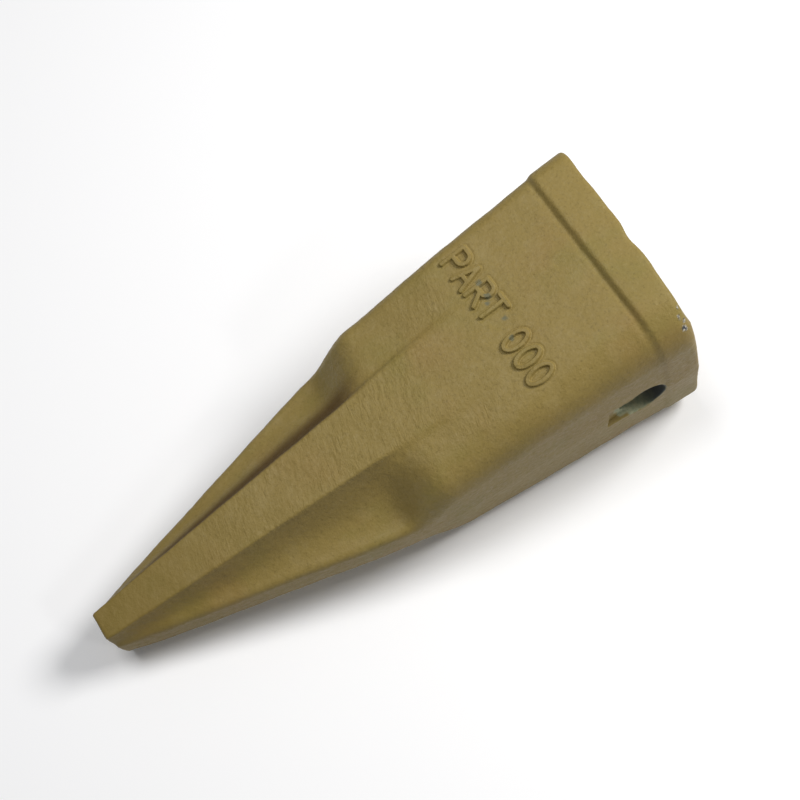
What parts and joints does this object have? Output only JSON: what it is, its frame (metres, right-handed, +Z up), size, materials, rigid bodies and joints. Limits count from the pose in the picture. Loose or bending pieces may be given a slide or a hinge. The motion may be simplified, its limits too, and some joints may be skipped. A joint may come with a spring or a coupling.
{
  "type": "excavator bucket tooth",
  "caption": "Side-pinned digging tooth: hollow cast point with a ribbed, fluted blade, cross pin, split spring ring and elastomer cushion.",
  "frame": {"origin": "on the floor, below the middle of the object's box, as the tooth lies on the front edge of its lower collar and on its tip", "axes": "+X towards the tip, +Y along the cross pin, +Z up; the nose axis slopes down towards the tip by about 7.1 degrees"},
  "size_m": [0.1982, 0.072, 0.0695],
  "materials": {
    "cast_paint": "satin khaki-gold paint over rough cast steel, with small chips and an unpainted bore",
    "pin_steel": "turned and hardened, lightly oiled",
    "spring_steel": "dark oil-blackened spring steel",
    "cushion_rubber": "matt black elastomer"
  },
  "bodies": {
    "tooth": {"tooth_point": "cast_paint"},
    "pin": {"retaining_pin": "pin_steel"},
    "retainer": {"retainer_ring": "spring_steel", "retainer_cushion": "cushion_rubber"}
  },
  "joints": [
    {"name": "pin_drive", "type": "slide", "parent": "tooth", "child": "pin", "axis": [0, 1, 0], "range_m": [0, 0.075], "deforming": ["retainer_ring"]},
    {"name": "retainer_turn", "type": "hinge", "parent": "tooth", "child": "retainer", "pos_m": [-0.07401, -0.019, 0.03295], "axis": [0, 1, 0], "continuous": true}
  ]
}
